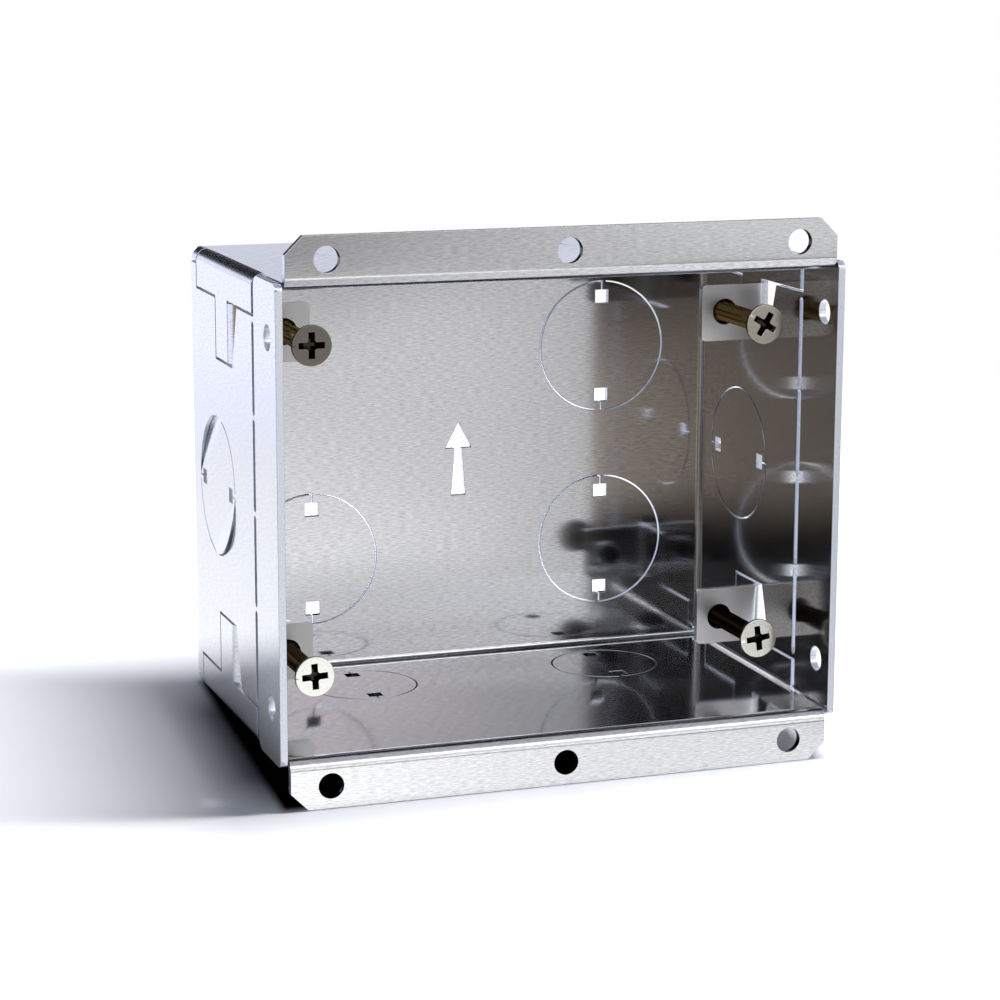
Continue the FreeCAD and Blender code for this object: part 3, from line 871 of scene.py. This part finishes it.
class ScrewLook(bpy.types.PropertyGroup):
    plating: FloatVectorProperty(
        name="Plating", description="Colour of the nickel on the two lower screws",
        default=linear("E5E5E0"), size=4, subtype="COLOR", min=0, max=1)
    shade: FloatVectorProperty(
        name="Shade", description="Colour of its duller spots",
        default=linear("CFCBC0"), size=4, subtype="COLOR", min=0, max=1)
    # Painted shade: the upper heads are a darker copy of the plating.
    upper_head_shade: FloatVectorProperty(
        name="Shade on the upper heads", description="Colour of the nickel on the two upper screws",
        default=linear("B6B1A7"), size=4, subtype="COLOR", min=0, max=1)
    # Painted shade: the upper left head is darker still.
    upper_left_head_shade: FloatVectorProperty(
        name="Shade on the upper left head", description="Colour of the nickel on the upper left screw",
        default=linear("736D68"), size=4, subtype="COLOR", min=0, max=1)
    # Painted shade down in the recess and at the rim.
    recess: FloatVectorProperty(
        name="Recess", description="Colour down in the recess and at the rim",
        default=linear("3A342D"), size=4, subtype="COLOR", min=0, max=1)
    # Painted shade: the lower right screw's thread is coloured near black.
    shank: FloatVectorProperty(
        name="Shank", description="Colour of the lower right screw's thread",
        default=linear("0D0A07"), size=4, subtype="COLOR", min=0, max=1)
    # Painted shade: the lower left screw's thread is coloured brown.
    left_thread_shade: FloatVectorProperty(
        name="Left shank", description="Colour of the lower left screw's thread",
        default=linear("33271C"), size=4, subtype="COLOR", min=0, max=1)
    # Painted reflection and shade: the upper screws' threads are coloured golden brown.
    upper_thread_reflection: FloatVectorProperty(
        name="Upper shank", description="Colour of the upper screws' thread",
        default=linear("6E5A3A"), size=4, subtype="COLOR", min=0, max=1)
    roughness: FloatProperty(
        name="Roughness", description="Roughness of the plating",
        default=0.16, min=0.05, max=1, subtype="FACTOR")
    head: FloatProperty(
        name="Head", description="Diameter of the head",
        default=8.0 * MM, unit="LENGTH", precision=5)
    rim: FloatProperty(
        name="Rim", description="Height of the head's straight rim",
        default=0.6 * MM, unit="LENGTH", precision=5)
    thread: FloatProperty(
        name="Thread", description="Outside diameter of the thread",
        default=4.0 * MM, unit="LENGTH", precision=5)
    root: FloatProperty(
        name="Root", description="Diameter at the root of the thread",
        default=3.2 * MM, unit="LENGTH", precision=5)
    pitch: FloatProperty(
        name="Pitch", description="From one turn of the thread to the next",
        default=0.7 * MM, unit="LENGTH", precision=5)
    cross: FloatProperty(
        name="Cross", description="Across two wings of the recess",
        default=5.2 * MM, unit="LENGTH", precision=5)
    wing: FloatProperty(
        name="Wing", description="Width of a wing of the recess",
        default=1.25 * MM, unit="LENGTH", precision=5)


class StageLook(bpy.types.PropertyGroup):
    floor: FloatVectorProperty(
        name="Floor", description="Colour of the floor",
        default=linear("F4F5F8"), size=4, subtype="COLOR", min=0, max=1)
    below: FloatVectorProperty(
        name="Shadow below", description="Colour of the floor below the box",
        default=linear("050505"), size=4, subtype="COLOR", min=0, max=1)
    beside: FloatVectorProperty(
        name="Shadow beside", description="Colour of the floor beside the box, to the left",
        default=linear("68696B"), size=4, subtype="COLOR", min=0, max=1)
    floor_size: FloatProperty(
        name="Floor size", description="Side of the floor", default=1.4, unit="LENGTH")
    studio: FloatProperty(
        name="Studio", description="Brightness of what the metal reflects", default=1.6, min=0)
    ceiling: FloatProperty(
        name="Ceiling", description="How much brighter it is overhead", default=1.2, min=0)
    sky: FloatProperty(
        name="Sky", description="Brightness of the even light on the floor", default=0.26, min=0)
    lamp_power: FloatProperty(
        name="Lamp power", description="Power of the strip overhead", default=7.0, unit="POWER")
    lamp_length: FloatProperty(
        name="Lamp length", description="Length of the strip", default=0.46, unit="LENGTH")
    lamp_width: FloatProperty(
        name="Lamp width", description="Width of the strip", default=0.05, unit="LENGTH")
    lamp_offset: FloatProperty(
        name="Lamp offset", description="From the box to the strip's middle",
        default=0.22, unit="LENGTH")
    lamp_back: FloatProperty(
        name="Lamp back", description="Strip behind the flanges' front face",
        default=0.064, unit="LENGTH")
    lamp_height: FloatProperty(
        name="Lamp height", description="Strip above the box's middle",
        default=0.6, unit="LENGTH")


class BOX_OT_sheet(bpy.types.Operator):
    """Make the folded sheet"""
    bl_idname = "mounting_box.sheet"
    bl_label = "Folded sheet"

    def execute(self, context):
        make_sheet(context.scene.sheet_look)
        return {"FINISHED"}


class BOX_OT_screws(bpy.types.Operator):
    """Make the four cover screws"""
    bl_idname = "mounting_box.screws"
    bl_label = "Cover screws"

    def execute(self, context):
        make_screws(context.scene.screw_look)
        return {"FINISHED"}


class BOX_OT_stage(bpy.types.Operator):
    """Make the floor, the light and the camera"""
    bl_idname = "mounting_box.stage"
    bl_label = "Stage"

    def execute(self, context):
        make_stage(context.scene.stage_look)
        return {"FINISHED"}


class BOX_PT_panel(bpy.types.Panel):
    """Lists the pieces of the mounting box and their sizes and colours"""
    bl_idname = "BOX_PT_panel"
    bl_label = "Mounting box"
    bl_space_type = "VIEW_3D"
    bl_region_type = "UI"
    bl_category = "Mounting box"

    def draw(self, context):
        for look, operator in (("sheet_look", BOX_OT_sheet), ("screw_look", BOX_OT_screws),
                               ("stage_look", BOX_OT_stage)):
            part = self.layout.box()
            values = getattr(context.scene, look)
            for key in values.bl_rna.properties.keys():
                if key not in ("rna_type", "name"):
                    part.prop(values, key)
            part.operator(operator.bl_idname)


LOOKS = {"sheet_look": SheetLook, "screw_look": ScrewLook, "stage_look": StageLook}
CLASSES = (*LOOKS.values(), BOX_OT_sheet, BOX_OT_screws, BOX_OT_stage, BOX_PT_panel)


def register():
    """Adds the classes, and their values to the scene."""
    for item in CLASSES:
        bpy.utils.register_class(item)
    for name, look in LOOKS.items():
        setattr(bpy.types.Scene, name, PointerProperty(type=look))


def unregister():
    """Takes the values and the classes out again."""
    for name in LOOKS:
        delattr(bpy.types.Scene, name)
    for item in reversed(CLASSES):
        bpy.utils.unregister_class(item)


def main():
    """Makes the stage and every piece."""
    register()
    bpy.ops.mounting_box.stage()
    bpy.ops.mounting_box.sheet()
    bpy.ops.mounting_box.screws()


if __name__ == "__main__":
    main()
